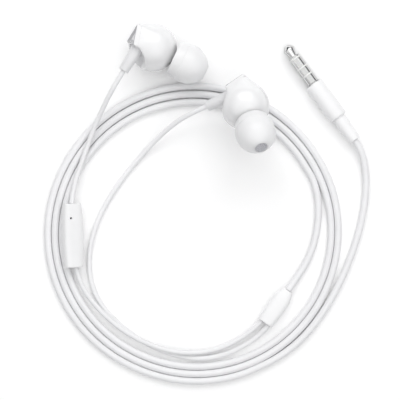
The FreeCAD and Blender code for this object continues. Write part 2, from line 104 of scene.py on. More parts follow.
# %% Table and lamps
def plain_material(name, colour, roughness):
    """A material with one colour, for things that aren't part of the object."""
    made = bpy.data.materials.new(name)
    made.use_nodes = True
    shader = made.node_tree.nodes["Principled BSDF"]
    shader.inputs["Base Color"].default_value = (*colour, 1)
    shader.inputs["Roughness"].default_value = roughness
    return made


def mesh_object(name, verts, faces):
    mesh = bpy.data.meshes.new(name)
    mesh.from_pydata([tuple(v) for v in verts], [], faces)
    mesh.update()
    made = bpy.data.objects.new(name, mesh)
    bpy.context.collection.objects.link(made)
    return made


REACH = 3.0
table = mesh_object("table", [(-REACH, -REACH, 0), (REACH, -REACH, 0), (REACH, REACH, 0), (-REACH, REACH, 0)],
                    [(0, 1, 2, 3)])
table.data.materials.append(plain_material("pale_table", (1.0, 1.0, 1.0), 0.7))


def soft_lamp(name, at, size, watts, aim):
    lamp = bpy.data.objects.new(name, bpy.data.lights.new(name, "AREA"))
    lamp.data.shape = "RECTANGLE"
    lamp.data.size, lamp.data.size_y = size
    lamp.data.energy = watts
    lamp.location = at
    lamp.rotation_mode = "QUATERNION"
    lamp.rotation_quaternion = (Vector(aim) - Vector(at)).to_track_quat("-Z", "Y")
    bpy.context.collection.objects.link(lamp)


MIDDLE = (0, -0.033, 0)
soft_lamp("main_softbox", (0.0, 0.55, 0.55), (0.9, 0.6), 3.0, MIDDLE)
soft_lamp("side_softbox", (0.25, -0.3, 0.65), (0.6, 0.6), 0.7, MIDDLE)

world = bpy.data.worlds.new("studio")
bpy.context.scene.world = world
world.use_nodes = True
tree = world.node_tree
direction = tree.nodes.new("ShaderNodeTexCoord")
split = tree.nodes.new("ShaderNodeSeparateXYZ")
ramp = tree.nodes.new("ShaderNodeValToRGB")
tree.links.new(direction.outputs["Generated"], split.inputs[0])
tree.links.new(split.outputs["Z"], ramp.inputs["Fac"])
tree.links.new(ramp.outputs["Color"], tree.nodes["Background"].inputs["Color"])
ramp.color_ramp.elements[0].position, ramp.color_ramp.elements[0].color = 0.3, (0.05, 0.053, 0.066, 1)
ramp.color_ramp.elements[1].position, ramp.color_ramp.elements[1].color = 0.66, (1, 1, 1, 1)
tree.nodes["Background"].inputs["Strength"].default_value = 0.92
bpy.context.scene.view_settings.view_transform = "Standard"

# %% [markdown]
# ## The cords
# The single cable leaves the splitter, is wound in a flat coil of not quite three turns and ends in
# the plug. A thinner wire runs from each earpiece to the splitter, and the left one passes through
# the remote. A real jacket has no kinks, so each cord is one smooth NURBS curve: its control points
# pull the line towards them and it never turns sharply. The coil's points come from a loop.

# %% Cord routes
LEFT_UPPER = [
    (-21.98, 5.18, 9.95), (-25.0, 0.39, 9.4), (-28.0, -5.2, 6.6), (-30.6, -10.7, 4.2),
    (-32.8, -16.4, 3.1), (-34.9, -22.3, 2.95), (-36.9, -28.1, 3.15), (-37.69, -33.98, 3.5),
]
LEFT_LOWER = [
    (-36.38, -53.0, 3.18), (-35.3, -57.3, 2.75), (-33.0, -61.3, 2.45), (-29.9, -65.2, 2.4),
    (-26.0, -69.0, 2.45), (-21.4, -72.5, 2.5), (-16.2, -75.3, 2.5), (-10.6, -77.5, 2.45),
    (-4.6, -78.6, 2.15), (1.4, -78.5, 1.3), (7.3, -77.1, 0.8), (12.6, -74.4, 1.0),
    (16.6, -71.5, 1.5), (19.02, -68.94, 2.05),
]
RIGHT_CORD = [
    (2.72, -5.24, 9.65), (-1.6, -7.05, 8.4), (-5.8, -9.3, 6.2), (-10.05, -12.6, 3.7),
    (-14.2, -16.6, 1.8), (-18.4, -21.2, 0.85), (-22.5, -26.3, 0.76), (-26.3, -31.8, 0.76),
    (-29.5, -37.7, 0.76), (-31.7, -44.0, 0.76), (-32.7, -50.6, 0.76), (-32.2, -57.2, 0.76),
    (-29.7, -63.4, 0.76), (-25.1, -68.9, 0.76), (-19.3, -73.6, 0.76), (-12.8, -77.3, 0.76),
    (-5.8, -79.7, 0.76), (1.4, -80.5, 0.76), (8.4, -79.2, 0.76), (14.9, -75.9, 0.9),
    (18.8, -73.0, 1.5), (20.98, -70.32, 2.05),
]
CABLE_START = [
    (26.88, -59.92, 2.05), (29.4, -56.3, 1.3), (32.2, -52.1, 1.06), (34.3, -47.4, 1.06),
    (35.6, -42.2, 1.06), (36.1, -36.9, 1.06), (35.85, -31.7, 1.06), (34.62, -26.98, 1.06),
    (32.62, -23.52, 1.06),
]
CABLE_END = [
    (19.49, -82.39, 1.06), (24.4, -79.78, 1.06), (30.0, -75.6, 1.06), (35.1, -69.9, 1.06),
    (39.6, -63.1, 1.06), (43.1, -56.2, 1.06), (45.9, -49.4, 1.06), (48.1, -42.6, 1.06),
    (49.6, -35.9, 1.06), (50.3, -29.5, 1.1), (50.1, -23.4, 1.6), (48.75, -17.9, 2.5),
    (46.78, -15.05, 2.85),
]
COIL_FROM, COIL_TO = 30.0, 1018.0
STEP_FROM, STEP_SPAN = -110.0, 125.0
COIL_POINTS = 98


def in_metres(points):
    return [Vector(p) * MM for p in points]


def coil_route():
    """Points along the wound turns: each turn lies one pitch further out than the last."""
    route = []
    lift = 1 / math.cos(math.radians((COIL_TO - COIL_FROM) / COIL_POINTS / 2))
    for i in range(1, COIL_POINTS):
        angle = COIL_FROM + (COIL_TO - COIL_FROM) * i / COIL_POINTS
        turn = math.floor((angle - STEP_FROM) / 360)
        part = min(1.0, (angle - STEP_FROM - 360 * turn) / STEP_SPAN)
        spread = COIL_SPREAD * (turn + 1) * max(0.0, math.sin(math.radians(angle))) ** 4
        r = (COIL_R + COIL_PITCH * (turn + part - 1) + spread) * lift
        a = math.radians(angle)
        route.append(COIL_CENTRE + Vector((r * math.cos(a), r * math.sin(a), COIL_HEIGHT)))
    return route


def laid_cord(name, route, diameter):
    """A round cord along one smooth curve through the neighbourhood of the route's points."""
    curve = bpy.data.curves.new(name, "CURVE")
    curve.dimensions = "3D"
    spline = curve.splines.new("NURBS")
    spline.points.add(len(route) - 1)
    for point, at in zip(spline.points, route):
        point.co = (*at, 1)
    spline.order_u = 3
    spline.use_endpoint_u = True
    spline.resolution_u = 12
    curve.bevel_depth = diameter / 2
    curve.bevel_resolution = 6
    curve.use_fill_caps = True
    made = bpy.data.objects.new(name, curve)
    bpy.context.collection.objects.link(made)
    return made


def route_length(route):
    return sum((b - a).length for a, b in zip(route, route[1:]))


cable_route = in_metres(CABLE_START) + coil_route() + in_metres(CABLE_END)
cable = laid_cord("cable", cable_route, CABLE_D)
upper_wire = laid_cord("left_upper_wire", in_metres(LEFT_UPPER), WIRE_D)
lower_wire = laid_cord("left_lower_wire", in_metres(LEFT_LOWER), WIRE_D)
right_wire = laid_cord("right_wire", in_metres(RIGHT_CORD), WIRE_D)
cords = [cable, upper_wire, lower_wire, right_wire]
print("cable route", round(route_length(cable_route), 3), "m")

# %% [markdown]
# ## Finishes
# Every finish here is one Principled shader with two noises. A fine one bumps the surface, as
# mould texture, jacket grain or polishing lines do. A coarse one shifts the colour and the
# roughness by a percent or two, which is what keeps a white part from looking computed.

# %% One recipe for every finish
def finish(name, colour, roughness, grain=4000, relief=0.05, mottle=250, drift=0.02, metallic=0.0,
           coat=0.0, soft=0.0, drawn=None, turn=0.0, edge=1.0):
    """A procedural material. Scales are per metre, and drawn stretches the grain on X, Y and Z."""
    made = bpy.data.materials.new(name)
    made.use_nodes = True
    tree = made.node_tree
    shader = tree.nodes["Principled BSDF"]
    place = tree.nodes.new("ShaderNodeTexCoord")
    lay = tree.nodes.new("ShaderNodeMapping")
    lay.inputs["Scale"].default_value = drawn or (1, 1, 1)
    lay.inputs["Rotation"].default_value = (0, 0, turn)
    tree.links.new(place.outputs["Object"], lay.inputs["Vector"])
    fine = tree.nodes.new("ShaderNodeTexNoise")
    fine.inputs["Scale"].default_value = grain
    fine.inputs["Detail"].default_value = 3
    tree.links.new(lay.outputs["Vector"], fine.inputs["Vector"])
    bump = tree.nodes.new("ShaderNodeBump")
    bump.inputs["Strength"].default_value = relief
    bump.inputs["Distance"].default_value = 0.0001
    tree.links.new(fine.outputs["Fac"], bump.inputs["Height"])
    tree.links.new(bump.outputs["Normal"], shader.inputs["Normal"])
    coarse = tree.nodes.new("ShaderNodeTexNoise")
    coarse.inputs["Scale"].default_value = mottle
    tree.links.new(place.outputs["Object"], coarse.inputs["Vector"])
    tint = tree.nodes.new("ShaderNodeValToRGB")
    low, high = tint.color_ramp.elements
    low.position, high.position = 0.3, 0.7
    low.color = (*[c * (1 - drift) for c in colour], 1)
    high.color = (*colour, 1)
    tree.links.new(coarse.outputs["Fac"], tint.inputs["Fac"])
    tree.links.new(tint.outputs["Color"], shader.inputs["Base Color"])
    polish = tree.nodes.new("ShaderNodeMapRange")
    polish.inputs["To Min"].default_value = roughness * 0.85
    polish.inputs["To Max"].default_value = min(1.0, roughness * 1.15)
    tree.links.new(coarse.outputs["Fac"], polish.inputs["Value"])
    tree.links.new(polish.outputs["Result"], shader.inputs["Roughness"])
    shader.inputs["Metallic"].default_value = metallic
    shader.inputs["Specular Tint"].default_value = (edge, edge, edge, 1)
    shader.inputs["Coat Weight"].default_value = coat
    shader.inputs["Coat Roughness"].default_value = 0.08
    shader.inputs["Subsurface Weight"].default_value = soft
    shader.inputs["Subsurface Radius"].default_value = (1, 1, 1)
    shader.inputs["Subsurface Scale"].default_value = 0.0012
    return made


# %% [markdown]
# The whites differ: the shells are glossy, the boots, splitter and cords are satin, and the
# silicone tips let a little light in. The metals differ in how they were finished: the plug is
# turned and plated, so its fine lines run round it.

# %% The finishes of this pair
PLUG_AXIS = Vector((0.5895, -0.808, 0)).normalized()
PLUG_TURN = -math.atan2(PLUG_AXIS.y, PLUG_AXIS.x)
shell_white = finish("shell_white", (0.88, 0.88, 0.885), 0.22, grain=3000, relief=0.02, coat=0.35)
inlay_white = finish("inlay_white", (0.72, 0.72, 0.735), 0.3, grain=5000, relief=0.04, coat=0.2)
# The dark grey for the inlay's sloping rim is painted shade: the shade on a slope inside a recess.
rim_painted_shade = finish("rim_painted_shade", (0.38, 0.38, 0.4), 0.32, grain=5000, relief=0.04, coat=0.2)
satin_white = finish("satin_white", (0.92, 0.92, 0.925), 0.42, grain=6000, relief=0.12)
# The ear boots get a greyer white than the other satin parts. The grey is painted shade, standing for the
# shade under the housing.
boot_white_painted_shade = finish("boot_white_painted_shade", (0.8, 0.8, 0.81), 0.48, grain=6000, relief=0.14)
jacket_white = finish("jacket_white", (0.86, 0.86, 0.87), 0.4, grain=5000, relief=0.16, mottle=400,
                      drift=0.025)
silicone_white = finish("silicone_white", (0.88, 0.88, 0.885), 0.38, grain=7000, relief=0.06, soft=0.35)
ring_white = finish("ring_white", (0.88, 0.88, 0.87), 0.35, relief=0.05)
plated = finish("plated_nickel", (0.8, 0.8, 0.795), 0.07, grain=9000, relief=0.08, mottle=900,
                metallic=1.0, drawn=(1, 0.02, 0.02), turn=PLUG_TURN, edge=0.05)
wire_steel = finish("wire_steel", (0.82, 0.82, 0.86), 0.45, grain=9000, relief=0.1, metallic=0.2)
grey_moulding = finish("grey_moulding", (0.3, 0.3, 0.31), 0.5, grain=5000, relief=0.15)
pressed_steel = finish("pressed_steel", (0.56, 0.57, 0.58), 0.35, relief=0.1, metallic=1.0,
                       drawn=(1, 0.1, 1))
plated_magnet = finish("plated_magnet", (0.62, 0.61, 0.6), 0.25, grain=2500, relief=0.06, metallic=1.0)
wound_copper = finish("wound_copper", (0.72, 0.42, 0.25), 0.35, grain=12000, relief=0.4, metallic=1.0,
                      drawn=(1, 0.05, 0.05))
thin_film = finish("thin_film", (0.8, 0.8, 0.76), 0.3, grain=1500, relief=0.2)
board_green = finish("board_green", (0.05, 0.2, 0.1), 0.4, grain=1800, relief=0.3, mottle=1200, drift=0.4)

SLOT_FINISH = {
    "white_plastic": shell_white, "trim_plastic": inlay_white, "white_elastomer": satin_white,
    "cord": jacket_white, "silicone": silicone_white, "insulator": ring_white, "nickel": plated,
    "mesh": wire_steel, "grey_plastic": grey_moulding, "steel": pressed_steel,
    "magnet": plated_magnet, "copper": wound_copper, "film": thin_film, "board": board_green,
}
for part in frame["record"]["subparts"]:
    node = frame["nodes"][part["node"]]
    node.data.materials.clear()
    node.data.materials.append(SLOT_FINISH[part["material_slot"]])
for piece in cords:
    piece.data.materials.append(jacket_white)
print(len(SLOT_FINISH), "finishes")

# %% [markdown]
# ## Turned pieces
# Ear tips, boots and the plug are round about one axis. A profile of (along, radius) points in
# millimetres is spun round X and then put in its place. Where the profile meets the axis, all its
# points become one, so the end is closed. Hard edges are found by their angle.

# %% Spinning a profile
ROUND = 96


def settled(piece, place, angle=32):
    """Moves a mesh made in millimetres to its place in metres and sets its hard edges."""
    piece.data.transform(place @ Matrix.Scale(MM, 4))
    piece.data.shade_smooth()
    piece.data.set_sharp_from_angle(angle=math.radians(angle))
    return piece


def turned_blank(name, profile, steps):
    """The spun mesh in millimetres, its axis on X."""
    verts, faces, rows = [], [], []
    for along, radius in profile:
        if radius < 1e-6:
            rows.append([len(verts)] * steps)
            verts.append((along, 0, 0))
            continue
        rows.append([len(verts) + k for k in range(steps)])
        turns = [2 * math.pi * k / steps for k in range(steps)]
        verts += [(along, radius * math.cos(t), radius * math.sin(t)) for t in turns]
    if profile[0][1] > 1e-6:
        rows.append(rows[0])
    for near, far in zip(rows, rows[1:]):
        for k in range(steps):
            m = (k + 1) % steps
            face = list(dict.fromkeys((near[k], near[m], far[m], far[k])))
            if len(face) > 2:
                faces.append(face)
    made = mesh_object(name, verts, faces)
    outward(made)
    return made


def spun(name, profile, place, steps=ROUND):
    return settled(turned_blank(name, profile, steps), place)


def outward(piece):
    mesh = bmesh.new()
    mesh.from_mesh(piece.data)
    bmesh.ops.remove_doubles(mesh, verts=mesh.verts, dist=1e-5)
    bmesh.ops.recalc_face_normals(mesh, faces=mesh.faces)
    mesh.to_mesh(piece.data)
    mesh.free()


def eased(points, per=6):
    """The same points joined by a Catmull-Rom curve."""
    out = []
    padded = [points[0], *points, points[-1]]
    for a, b, c, d in zip(padded, padded[1:], padded[2:], padded[3:]):
        for k in range(per):
            t = k / per
            out.append(tuple(0.5 * (2 * q + (r - p) * t + (2 * p - 5 * q + 4 * r - s) * t * t
                                    + (3 * q - p - 3 * r + s) * t ** 3)
                             for p, q, r, s in zip(a, b, c, d)))
    return out + [points[-1]]


def dressed(piece, node, slot_name, body="root"):
    """Gives a finished piece its finish and its body, and hides the CAD node that it stands for."""
    piece.data.materials.clear()
    piece.data.materials.append(SLOT_FINISH[slot_name])
    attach(piece, body)
    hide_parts(node)
    return piece


# %% [markdown]
# ## Silicone ear tips
# A tip is one piece: a sleeve that grips the nozzle, and a thin domed skirt folded back from its
# mouth. The dome's profile is eased through a few measured points. A hair-fine line a quarter of
# the way along is where the two halves of the mould meet.

# %% Ear tips
TIP_DOME = [(0.0, 5.08), (0.8, 5.3), (1.7, 5.53), (2.65, 5.76), (3.4, 5.86), (4.3, 5.85), (5.2, 5.78),
            (6.0, 5.6), (7.1, 5.14), (8.2, 4.42), (9.1, 3.58), (9.8, 2.75), (10.15, 2.3)]
TIP_INSIDE = [(10.3, 2.05), (10.27, 1.88), (10.1, 1.82), (10.1, 2.25), (0.6, 2.25), (0.6, 3.05),
              (6.4, 3.05), (7.0, 3.55), (6.6, 4.6), (5.8, 5.1), (4.3, 5.35), (2.5, 5.22), (0.1, 4.6)]
MOULD_LINE, RIDGE = 2.65, 0.09


def tip_profile():
    dome = eased(TIP_DOME)
    before = [p for p in dome if p[0] < MOULD_LINE - 0.12]
    after = [p for p in dome if p[0] > MOULD_LINE + 0.16]
    at = before[-1][1] + 0.01
    ridge = [(MOULD_LINE - 0.1, at), (MOULD_LINE - 0.04, at + RIDGE), (MOULD_LINE + 0.08, at + RIDGE),
             (MOULD_LINE + 0.14, at + 0.03)]
    return before + ridge + after + TIP_INSIDE


for side in EAR_PLACE:
    tip = spun(side + "_silicone_tip", tip_profile(), EAR_PLACE[side], steps=128)
    dressed(tip, side + "_ear_tip", "silicone", body=side + "_tip")
print("ear tip", round(2 * max(r for a, r in TIP_DOME), 2), "mm across")

# %% [markdown]
# ## Nozzle mesh
# A woven disc keeps wax out of the sound tube. Two sets of wires cross, each going over and under
# the other, so this is a rule that Geometry Nodes can follow: one wavy wire is copied side by side,
# every second copy a half wave further on, the set is turned a quarter, and what lies outside the
# tube is cut away.

# %% Weaving with Geometry Nodes
MESH_R, MESH_AT = 2.12, 9.93
WEAVE = {"Pitch": 0.24, "Wire radius": 0.055, "Reach": MESH_R}


def weave_tree():
    tree = bpy.data.node_groups.new("woven_mesh", "GeometryNodeTree")
    tree.interface.new_socket("Geometry", in_out="OUTPUT", socket_type="NodeSocketGeometry")
    for label in WEAVE:
        tree.interface.new_socket(label, in_out="INPUT", socket_type="NodeSocketFloat")
    tree.interface.new_socket("Finish", in_out="INPUT", socket_type="NodeSocketMaterial")
    given = tree.nodes.new("NodeGroupInput").outputs

    def node(kind, **sets):
        made = tree.nodes.new(kind)
        for key, value in sets.items():
            setattr(made, key, value)
        return made

    def link(a, b):
        tree.links.new(a, b)

    def math_node(operation, a, b=None):
        made = node("ShaderNodeMath", operation=operation)
        for socket, value in zip(made.inputs, (a, b)):
            if value is None:
                continue
            if isinstance(value, (int, float)):
                socket.default_value = value
            else:
                link(value, socket)
        return made.outputs[0]

    def wave_set(phase, quarter):
        """One set of parallel wavy wires, all along X before the quarter turn."""
        half_count = math_node("DIVIDE", given["Reach"], given["Pitch"])
        count = math_node("ADD", math_node("MULTIPLY", half_count, 2), 1)
        line = node("GeometryNodeMeshLine", mode="OFFSET")
        link(count, line.inputs["Count"])
        start = node("ShaderNodeCombineXYZ")
        link(math_node("MULTIPLY", given["Reach"], -1), start.inputs["Y"])
        link(start.outputs[0], line.inputs["Start Location"])
        step = node("ShaderNodeCombineXYZ")
        link(given["Pitch"], step.inputs["Y"])
        link(step.outputs[0], line.inputs["Offset"])
        wire = node("GeometryNodeCurvePrimitiveLine")
        for end, sign in (("Start", -1), ("End", 1)):
            at = node("ShaderNodeCombineXYZ")
            link(math_node("MULTIPLY", given["Reach"], sign), at.inputs["X"])
            link(at.outputs[0], wire.inputs[end])
        fine = node("GeometryNodeResampleCurve")
        fine.inputs["Count"].default_value = 100
        link(wire.outputs[0], fine.inputs["Curve"])
        copies = node("GeometryNodeInstanceOnPoints")
        link(line.outputs[0], copies.inputs["Points"])
        link(fine.outputs[0], copies.inputs["Instance"])
        real = node("GeometryNodeRealizeInstances")
        link(copies.outputs[0], real.inputs[0])
        where = node("GeometryNodeInputPosition")
        axes = node("ShaderNodeSeparateXYZ")
        link(where.outputs[0], axes.inputs[0])
        along = math_node("MULTIPLY", math_node("DIVIDE", axes.outputs["X"], given["Pitch"]), math.pi)
        across = math_node("MULTIPLY", math_node("DIVIDE", axes.outputs["Y"], given["Pitch"]), math.pi)
        angle = math_node("ADD", math_node("ADD", along, across), phase)
        height = math_node("MULTIPLY", math_node("SINE", angle), given["Wire radius"])
        lift = node("ShaderNodeCombineXYZ")
        link(height, lift.inputs["Z"])
        wavy = node("GeometryNodeSetPosition")
        link(real.outputs[0], wavy.inputs["Geometry"])
        link(lift.outputs[0], wavy.inputs["Offset"])
        turned = node("GeometryNodeTransform")
        link(wavy.outputs[0], turned.inputs["Geometry"])
        turned.inputs["Rotation"].default_value = (0, 0, math.radians(90) if quarter else 0)
        return turned.outputs[0]

    both = node("GeometryNodeJoinGeometry")
    link(wave_set(0.0, False), both.inputs[0])
    link(wave_set(math.pi, True), both.inputs[0])
    where = node("GeometryNodeInputPosition")
    flat = node("ShaderNodeVectorMath", operation="MULTIPLY")
    flat.inputs[1].default_value = (1, 1, 0)
    link(where.outputs[0], flat.inputs[0])
    size = node("ShaderNodeVectorMath", operation="LENGTH")
    link(flat.outputs[0], size.inputs[0])
    outside = node("FunctionNodeCompare", data_type="FLOAT", operation="GREATER_THAN")
    link(size.outputs["Value"], outside.inputs[0])
    link(given["Reach"], outside.inputs[1])
    cut = node("GeometryNodeDeleteGeometry", domain="POINT")
    link(both.outputs[0], cut.inputs["Geometry"])
    link(outside.outputs[0], cut.inputs["Selection"])
    ring = node("GeometryNodeCurvePrimitiveCircle")
    ring.inputs["Resolution"].default_value = 5
    link(given["Wire radius"], ring.inputs["Radius"])
    tube = node("GeometryNodeCurveToMesh")
    tube.inputs["Fill Caps"].default_value = True
    link(cut.outputs[0], tube.inputs["Curve"])
    link(ring.outputs[0], tube.inputs["Profile Curve"])
    whole = node("GeometryNodeRealizeInstances")
    link(tube.outputs[0], whole.inputs[0])
    paint = node("GeometryNodeSetMaterial")
    link(whole.outputs[0], paint.inputs["Geometry"])
    link(given["Finish"], paint.inputs["Material"])
    link(paint.outputs[0], node("NodeGroupOutput").inputs[0])
    return tree


def woven_disc():
    """The baked mesh of one woven disc, flat on Z = 0, in millimetres."""
    tree = weave_tree()
    holder = mesh_object("weave_holder", [(0, 0, 0)], [])
    weave = holder.modifiers.new("weave", "NODES")
    weave.node_group = tree
    for item in tree.interface.items_tree:
        if item.in_out == "INPUT":
            weave[item.identifier] = WEAVE.get(item.name, wire_steel)
    bpy.context.view_layer.update()
    ready = holder.evaluated_get(bpy.context.evaluated_depsgraph_get())
    mesh = bpy.data.meshes.new_from_object(ready)
    holder.modifiers.clear()
    bpy.data.objects.remove(holder)
    return mesh


disc_mesh = woven_disc()
print("woven disc", len(disc_mesh.polygons), "faces")

# %% [markdown]
# The disc is stood up across the nozzle. Behind it the sound tube is dark.

# %% Mesh discs in their nozzles
UPRIGHT = Matrix.Rotation(math.radians(90), 4, "Y")
for side in EAR_PLACE:
    weave = bpy.data.objects.new(side + "_woven_mesh", disc_mesh.copy())
    bpy.context.collection.objects.link(weave)
    settled(weave, EAR_PLACE[side] @ Matrix.Translation((MESH_AT * MM, 0, 0)) @ UPRIGHT)
    dressed(weave, side + "_nozzle_mesh", "mesh")

# %% [markdown]
# ## Boots of the earpieces
# A boot is a tapered sleeve of soft plastic that keeps the wire from kinking where it enters. Its
# wide end has a collar that is trapped inside the shell.

# %% Earpiece boots
BOOT_AT, BOOT_AXIS = Vector((-10.7, -1.2, 2.7)), Vector((-0.116, -0.993, 0))
BOOT_PROFILE = [(-0.7, 0), (-0.7, 2.2), (0, 2.2), (0, 1.88), (8.75, 1.53), (8.93, 1.46), (9.0, 1.34),
                (9.0, 0.86), (8.9, 0.78), (8.9, 0)]


def along_local(at, axis):
    """Placement in millimetres whose X runs along axis."""
    return Matrix.Translation(at * MM) @ axis.to_track_quat("X", "Z").to_matrix().to_4x4()


for side in EAR_PLACE:
    boot = spun(side + "_wire_boot", BOOT_PROFILE, EAR_PLACE[side] @ along_local(BOOT_AT, BOOT_AXIS))
    dressed(boot, side + "_boot", "white_elastomer")
    # The ear boots wear the greyer white, which is painted shade.
    boot.data.materials[0] = boot_white_painted_shade

# %% [markdown]
# ## The housing
# The shell is a ball that runs back into a three-cornered end, like a pebble pinched at one side,
# with a flat underside where the boot comes out. A hull stretched over part of the ball and the
# three corners gives the pinch without any drawing. A voxel remesh welds hull and ball into one
# skin, and a little smoothing rounds every edge as polishing rounds a mould.

# %% Ball and hull
BALL_R, UNDERSIDE = 7.2, -2.4
BALL_CENTRE = Vector((-7.1, 0, 0))
CORNERS = [Vector((-13.9, 4.0, 5.5)), Vector((-12.3, -2.4, 6.3)), Vector((-15.1, -1.6, -3.9))]
FACE_NORMAL = (CORNERS[1] - CORNERS[0]).cross(CORNERS[2] - CORNERS[0]).normalized()
if FACE_NORMAL.x > 0:
    FACE_NORMAL.negate()
CORNER_R, VOXEL = 0.25, 0.13
SCOOP = [(0.5, 0), (0.5, 2.8), (2.6, 4.3), (7.5, 5.4), (7.5, 0)]      # along the boot, from its seat


def ball_points(mesh, radius, at, detail):
    return bmesh.ops.create_icosphere(mesh, subdivisions=detail, radius=radius,
                                      matrix=Matrix.Translation(at))["verts"]


def pinched_hull():
    """Hull over the part of the ball above the underside and a bead at each corner of the end."""
    mesh = bmesh.new()
    ball = ball_points(mesh, BALL_R, BALL_CENTRE, 5)
    bmesh.ops.delete(mesh, geom=[v for v in ball if v.co.y < UNDERSIDE], context="VERTS")
    middle = sum(CORNERS, Vector()) / 3
    for corner in CORNERS:
        inward = (middle - corner).normalized() * CORNER_R * 2 - FACE_NORMAL * CORNER_R
        ball_points(mesh, CORNER_R, corner + inward, 2)
    hull = bmesh.ops.convex_hull(mesh, input=mesh.verts)
    loose = [e for e in hull["geom_interior"] + hull["geom_unused"] if isinstance(e, bmesh.types.BMVert)]
    bmesh.ops.delete(mesh, geom=list(set(loose)), context="VERTS")
    return mesh


def with_modifiers(piece, *steps):
    """Adds modifiers one after another and bakes them into the piece's mesh."""
    for kind, sets in steps:
        step = piece.modifiers.new(kind.lower(), kind)
        for key, value in sets.items():
            setattr(step, key, value)
    bpy.context.view_layer.update()
    ready = piece.evaluated_get(bpy.context.evaluated_depsgraph_get())
    mesh = bpy.data.meshes.new_from_object(ready)
    piece.modifiers.clear()
    piece.data = mesh
    return piece


def welded(piece, rounding):
    """Remeshes overlapping closed shapes into one skin and rounds its edges."""
    return with_modifiers(piece, ("REMESH", {"mode": "VOXEL", "voxel_size": VOXEL}),
                          ("SMOOTH", {"factor": 0.5, "iterations": rounding}))


def drilled(piece, cutter):
    with_modifiers(piece, ("BOOLEAN", {"object": cutter, "operation": "DIFFERENCE", "solver": "EXACT"}))
    bpy.data.objects.remove(cutter)


def skin_block():
    """Ball and hull welded into one rounded skin, with a scoop round the boot, in millimetres."""
    mesh = pinched_hull()
    ball_points(mesh, BALL_R, BALL_CENTRE, 5)
    block = mesh_object("housing_block", [], [])
    mesh.to_mesh(block.data)
    mesh.free()
    outward(block)
    welded(block, 10)
    scoop = turned_blank("scoop", SCOOP, 64)
    scoop.data.transform(Matrix.Translation(BOOT_AT) @ BOOT_AXIS.to_track_quat("X", "Z").to_matrix().to_4x4())
    drilled(block, scoop)
    welded(block, 12)
    notch = block.vertex_groups.new(name="notch")
    for v in block.data.vertices:
        reach = v.co - BOOT_AT
        ahead = reach.dot(BOOT_AXIS)
        away = (reach - BOOT_AXIS * ahead).length
        near = min(1.0, max(0.0, (6.2 - away) / 1.8)) * min(1.0, max(0.0, ahead - 0.2))
        if near > 0:
            notch.add([v.index], near, "REPLACE")
    return with_modifiers(block, ("SMOOTH", {"factor": 0.5, "iterations": 60, "vertex_group": "notch"}))


block = skin_block()
print("housing skin", len(block.data.polygons), "faces")

# %% [markdown]
# ## Three-cornered inlay and its recess
# The end face carries a small inlay with a sloping rim. Its outline is the end face moved inwards
# with rounded corners. The same outline cuts the recess in the shell and shapes the inlay.

# %% Rounded triangle
def inset_corners(distance):
    """Corners of the end face moved in by a distance, measured square to its sides."""
    sides = [(CORNERS[(i + 1) % 3] - CORNERS[(i + 2) % 3]).length for i in range(3)]
    centre = sum((c * s for c, s in zip(CORNERS, sides)), Vector()) / sum(sides)
    area = (CORNERS[1] - CORNERS[0]).cross(CORNERS[2] - CORNERS[0]).length / 2
    keep = 1 - distance / (2 * area / sum(sides))
    return [centre + (c - centre) * keep for c in CORNERS]


def rounded_triangle(distance, depth, bend=0.5, per=6):
    """Points round the inset triangle, its corners bent from this far away, sunk by depth."""
    corners, out = inset_corners(distance), []
    for i, corner in enumerate(corners):
        before = corner + (corners[i - 1] - corner).normalized() * bend
        after = corner + (corners[(i + 1) % 3] - corner).normalized() * bend
        for k in range(per + 1):
            t = k / per
            out.append(before * (1 - t) ** 2 + corner * 2 * t * (1 - t) + after * t * t)
    return [p - FACE_NORMAL * depth for p in out]


def stacked(name, loops):
    """A closed solid through loops of equal length, with a flat cap at each end."""
    count = len(loops[0])
    verts = [p for loop in loops for p in loop]
    faces = [list(range(count)), [len(verts) - count + k for k in range(count)]]
    for row in range(len(loops) - 1):
        for k in range(count):
            m = (k + 1) % count
            faces.append((row * count + k, row * count + m, (row + 1) * count + m, (row + 1) * count + k))
    made = mesh_object(name, verts, faces)
    outward(made)
    return made


RIM = 0.16
RECESS_DEPTH = 0.8
cutter = stacked("recess_cutter", [rounded_triangle(RIM, -1.0), rounded_triangle(RIM, RECESS_DEPTH)])
drilled(block, cutter)
INLAY_LOOPS = [(RIM + 0.03, 0.75), (RIM + 0.03, 0.08), (RIM + 0.06, 0.04), (RIM + 0.1, 0.04),
               (RIM + 1.06, 0.42), (RIM + 1.12, 0.45)]
for side in EAR_PLACE:
    inlay = stacked(side + "_inlay", [
        rounded_triangle(i, d, bend=max(0.12, 0.5 - i / 2)) for i, d in INLAY_LOOPS
    ])
    settled(inlay, EAR_PLACE[side], angle=25)
    dressed(inlay, side + "_rear_trim", "trim_plastic")
    # The inlay's side faces and sloping rim faces get the dark grey, which is painted shade. Its flat faces
    # keep the inlay white.
    inlay.data.materials.append(rim_painted_shade)
    for face in inlay.data.polygons:
        face.material_index = 0 if len(face.vertices) > 4 else 1

# %% [markdown]
# ## Two shells from one skin
# The skin is cut along a plane parallel to the end face. The front shell and the rear cover each
# get a wall, and a fine gap stays between them, which is the seam that shows on the real thing.
# The shell is opened for the nozzle and for the boot where they hide the cut.

# %% Cutting, opening and giving walls
SEAM_DEPTH, SEAM_GAP, WALL = 1.4, 0.025, 0.75


